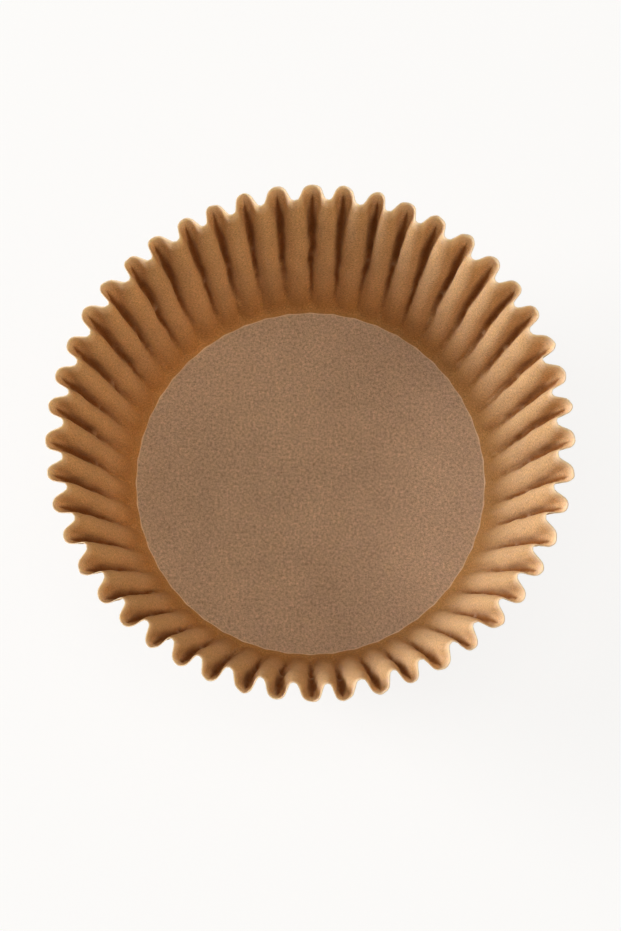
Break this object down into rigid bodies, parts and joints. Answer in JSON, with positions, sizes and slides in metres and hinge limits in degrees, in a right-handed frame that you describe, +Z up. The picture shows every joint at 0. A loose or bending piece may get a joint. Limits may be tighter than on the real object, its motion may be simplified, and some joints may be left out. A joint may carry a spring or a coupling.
{
  "type": "cupcake liner",
  "caption": "Fluted paper baking cup: a flat round base and a flared wall of fine pleats, open at the top to hold batter or a small cake.",
  "frame": {"origin": "centre of the underside of the flat base, on the table that the liner stands on", "axes": "+Z up along the liner's axis, from the base to the open rim; one pleat's crest points along +X and another along +Y"},
  "size_m": [0.074, 0.074, 0.03],
  "materials": {
    "kraft_paper": "matte"
  },
  "bodies": {
    "root": {"liner": "kraft_paper"}
  },
  "joints": []
}
